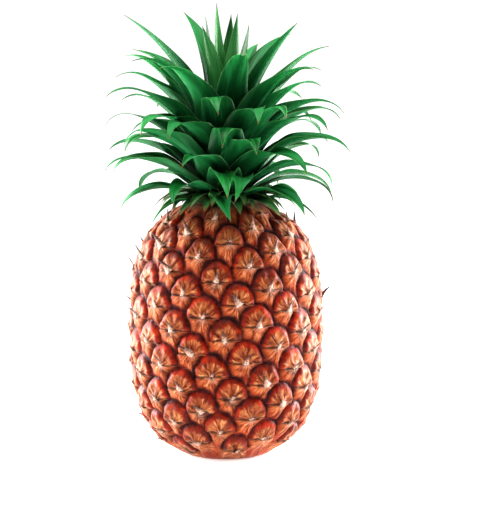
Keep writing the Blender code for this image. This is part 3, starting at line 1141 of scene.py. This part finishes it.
@dataclass
class Crown:
    """All the crown's leaves, each as its own piece in place of its CAD node."""

    form: CrownForm
    along: int = 64
    across: int = 12
    thick_middle: float = 0.80 * MM
    thick_margin: float = 0.22 * MM

    def leaf_mesh(self, leaf: CrownLeaf, name: str) -> bpy.types.Object:
        """Builds one leaf: an upper and a lower skin that meet in a thin margin.

        Args:
            leaf: the leaf's rule.
            name: the object's name.

        Returns:
            The leaf's object.
        """
        rows, columns = self.along + 1, self.across + 1
        s_line = np.linspace(0.0, 1.0, rows) ** 0.92
        u_line = np.sin(np.linspace(-math.pi / 2.0, math.pi / 2.0, columns))
        s = np.repeat(s_line, columns)
        u = np.tile(u_line, rows)
        half = leaf.width(s)
        phase = leaf.own.uniform(0.0, 6.3)
        wave = 0.30 * MM * np.sin(9.0 * s + phase) * np.abs(u) ** 2 * smoothstep(0.15, 0.4, s) * (1.0 - s)
        thick = self.thick_margin + (self.thick_middle - self.thick_margin) * (1.0 - np.abs(u) ** 2.5)
        thick *= 1.0 - 0.55 * s
        upper = leaf.points(u, s, wave + thick / 2.0)
        lower = leaf.points(u, s, wave - thick / 2.0)
        count = rows * columns
        chance = leaf.own.random()
        across_mm = u * half / MM
        margin_mm = (1.0 - np.abs(u)) * half / MM
        blade = np.column_stack([s, margin_mm, across_mm])
        facts = np.column_stack([np.full(count, chance), np.ones(count), np.full(count, leaf.rank)])
        under = facts * [1.0, 0.0, 1.0]
        attributes = {"blade": np.vstack([blade, blade]), "leaf": np.vstack([facts, under])}
        faces = leaf_faces(rows, columns)
        return mesh_object(name, np.vstack([upper, lower]), faces, attributes, MARGIN_ANGLE)

    def build(self) -> list[bpy.types.Object]:
        """Builds every leaf."""
        chance = random.Random(self.form.seed)
        made = []
        for index in range(self.form.count):
            leaf = CrownLeaf(self.form, index, chance)
            young = leaf.rank >= self.form.young_rank
            piece = self.leaf_mesh(leaf, f"crown_leaf_{index + 1:02d}")
            (YOUNG_LEAF if young else LEAF).put_on(piece)
            settle(piece, [f"leaf_{index + 1:02d}"])
            piece.shadow_terminator_geometry_offset = 1.0
            piece.shadow_terminator_shading_offset = 0.3
            made.append(piece)
        return made


@dataclass
class FillerLeaves:
    """More leaves between the crown's numbered ones, joined in one piece."""

    crown: Crown
    first: float = 12.5
    last: float = 44.5
    step: float = 2.0
    shorter: float = 0.94
    seed: int = 8

    def build(self) -> bpy.types.Object:
        """Builds the leaves at half-way places of the same spiral and joins them."""
        chance = random.Random(self.seed)
        joined = bmesh.new()
        for index in np.arange(self.first, self.last + 0.1, self.step):
            leaf = CrownLeaf(self.crown.form, float(index), chance)
            leaf.length *= self.shorter
            part = self.crown.leaf_mesh(leaf, "filler_leaf")
            joined.from_mesh(part.data)
            mesh = part.data
            bpy.data.objects.remove(part, do_unlink=True)
            bpy.data.meshes.remove(mesh)
        mesh = bpy.data.meshes.new("crown_filler_leaves")
        joined.to_mesh(mesh)
        joined.free()
        leaves = linked("crown_filler_leaves", mesh)
        LEAF.put_on(leaves)
        settle(leaves)
        return leaves


@dataclass
class FootLeaves:
    """Small leaves packed round the foot of the crown, over the shoulder of the fruit."""

    form: CrownForm
    count: int = 34
    length: float = 31.0 * MM
    half_width: float = 6.0 * MM
    rows: int = 7
    start_slope: float = math.radians(26.0)
    bend: float = math.radians(78.0)

    def blade(self) -> bpy.types.Object:
        """One leaf: a channelled blade along +Z that bends over towards -Y, thick enough to be closed."""
        shares = np.linspace(0.0, 1.0, self.rows)
        middle = (shares[1:] + shares[:-1]) / 2.0
        step = self.length / (self.rows - 1)
        slope = self.start_slope - self.bend * middle
        run = np.concatenate([[0.0], np.cumsum(np.cos(slope) * step)])
        rise = np.concatenate([[0.0], np.cumsum(np.sin(slope) * step)])
        half = self.half_width * (1.0 - shares**1.6) ** 0.9 + 0.10 * MM
        u = np.array([-1.0, -0.5, 0.0, 0.5, 1.0])
        lift = 0.30 * half[:, None] * u[None, :] ** 2
        sideways = u[None, :] * half[:, None]
        top = np.stack([sideways, rise[:, None] + lift, run[:, None] + 0.0 * lift], axis=2)
        thick = 0.45 * MM * (1.0 - 0.5 * shares)[:, None] * (1.0 - 0.6 * np.abs(u))[None, :]
        under = top.copy()
        under[:, :, 1] -= thick
        points = np.vstack([top.reshape(-1, 3), under.reshape(-1, 3)])
        s = np.repeat(shares, len(u))
        across = np.tile(u, self.rows) * np.repeat(half, len(u)) / MM
        margin = (1.0 - np.abs(np.tile(u, self.rows))) * np.repeat(half, len(u)) / MM
        blade = np.column_stack([s, margin, across])
        upper = np.column_stack([s * 0.0 + 0.4, s * 0.0 + 1.0, s * 0.0])
        lower = upper * [1.0, 0.0, 1.0]
        attributes = {"blade": np.vstack([blade, blade]), "leaf": np.vstack([upper, lower])}
        faces = leaf_faces(self.rows, len(u))
        return mesh_object("foot_leaf_shape", points, faces, attributes, MARGIN_ANGLE)

    def build(self) -> bpy.types.Object:
        """Builds every small leaf as one piece."""
        index = np.arange(self.count)
        azimuth = 0.7 + GOLDEN_ANGLE * index
        height = self.form.base + (0.4 + 6.5 * index / self.count) * MM
        radius = np.array([self.form.stem_radius(float(z)) for z in height]) - 0.6 * MM
        out = np.column_stack([np.cos(azimuth), np.sin(azimuth), 0.0 * azimuth])
        points = out * radius[:, None] + np.column_stack([0.0 * height, 0.0 * height, height])
        upward = np.tile([0.0, 0.0, 1.0], (self.count, 1))
        scatter = Scatter(smallest=0.6, largest=1.25, twist=0.22, seed=4)
        seats = scatter.seats("crown_foot_leaves", points, out, upward)
        leaves = scatter.spread(self.blade(), seats, DRY_LEAF.material())
        settle(leaves)
        return leaves


# ---- studio ------------------------------------------------------------------------------------
@dataclass
class Studio:
    """The white sweep, the soft lights and the camera."""

    aim: tuple[float, float, float] = (0.0127, 0.0, 0.130)
    distance: float = 1.60
    elevation: float = math.radians(6.0)
    view_height: float = 0.3315  # metres of the object's plane that the taller side shows
    front_dim: float = 0.15  # strength of the surround behind the camera
    lit: tuple[float, float, float] = (0.0, 0.0, 0.13)  # what the lights aim at
    exposure: float = 0.2
    gamma: float = 0.85

    def camera(self) -> None:
        """Adds the camera in front of the fruit."""
        data = bpy.data.cameras.new("camera")
        data.sensor_width = 36.0
        data.lens = data.sensor_width * self.distance / self.view_height
        data.clip_end = 20.0
        eye = linked("camera", data)
        back = Vector((0.0, -math.cos(self.elevation), math.sin(self.elevation)))
        eye.location = Vector(self.aim) + back * self.distance
        eye.rotation_euler = (-back).to_track_quat("-Z", "Y").to_euler()
        bpy.context.scene.camera = eye

    def floor(self) -> None:
        """Adds the pale floor."""
        mesh = bpy.data.meshes.new("floor")
        grid = bmesh.new()
        bmesh.ops.create_grid(grid, x_segments=1, y_segments=1, size=6.0)
        grid.to_mesh(mesh)
        grid.free()
        floor = linked("floor", mesh)
        FloorFinish().put_on(floor)

    def softbox(self, name: str, place: tuple[float, float, float], size: float, watts: float) -> None:
        """Adds a square area light aimed at the fruit.

        Args:
            name: the light's name.
            place: where it hangs.
            size: its side.
            watts: its power.
        """
        data = bpy.data.lights.new(name, "AREA")
        data.size = size
        data.energy = watts
        lamp = linked(name, data)
        lamp.location = place
        aim = Vector(self.lit) - Vector(place)
        lamp.rotation_euler = aim.to_track_quat("-Z", "Y").to_euler()

    def world(self) -> None:
        """Sets a white surround that is dimmer in front of the fruit, like an open studio."""
        world = bpy.data.worlds.new("white_surround")
        world.use_nodes = True
        node = partial(add_node, world.node_tree)
        towards = node(SEPARATE, node(COORDINATE, out=0), out=1)
        strength = node(RANGE, towards, -0.8, 0.15, self.front_dim, 1.0, **SMOOTH)
        shade = world.node_tree.nodes["Background"]
        shade.inputs["Color"].default_value = (1.0, 1.0, 1.0, 1.0)
        world.node_tree.links.new(strength, shade.inputs["Strength"])
        bpy.context.scene.world = world

    def build(self) -> None:
        """Sets up the whole studio."""
        self.camera()
        self.floor()
        self.world()
        self.softbox("left_softbox", (-0.85, 0.40, 0.40), 0.7, 20.0)
        self.softbox("right_softbox", (0.85, 0.40, 0.40), 0.7, 20.0)
        self.softbox("low_left_softbox", (-0.50, 0.16, 0.02), 0.3, 7.0)
        self.softbox("low_right_softbox", (0.50, 0.16, 0.02), 0.3, 7.0)
        self.softbox("front_softbox", (-0.45, -1.1, 0.75), 0.4, 5.0)
        self.softbox("overhead_softbox", (0.0, -0.2, 1.5), 1.2, 16.0)
        view = bpy.context.scene.view_settings
        view.view_transform = "Standard"
        view.exposure = self.exposure
        view.gamma = self.gamma


def main() -> None:
    """Builds the studio and every piece."""
    logging.basicConfig(level=logging.INFO, format="%(name)s %(message)s")
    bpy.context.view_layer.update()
    Studio().build()

    fruit_low, fruit_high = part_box("fruit")
    form = FruitForm(radius=(fruit_high[0] - fruit_low[0]) / 2.0, height=fruit_high[2])
    stub_low, stub_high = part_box("stem_stub")
    pocket = ((stub_high[0] - stub_low[0]) / 2.0 + 0.3 * MM, stub_high[2] + 0.3 * MM)
    Rind(form, EyeShape(), pocket).build()
    BractTips(form).build()

    stem_low, stem_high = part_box("crown_stem")
    crown = CrownForm(
        base=stem_low[2], height=stem_high[2] - stem_low[2], foot_radius=(stem_high[0] - stem_low[0]) / 2.0
    )
    leaves = Crown(crown)
    leaves.build()
    FillerLeaves(leaves).build()
    FootLeaves(crown).build()
    for name, finish in (("stem_stub", CUT_STEM), ("crown_stem", CROWN_STEM)):
        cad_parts[name].material_slots[0].material = finish.material()
        LOG.info("%s: in %s", name, finish.name)


if __name__ == "__main__":
    main()
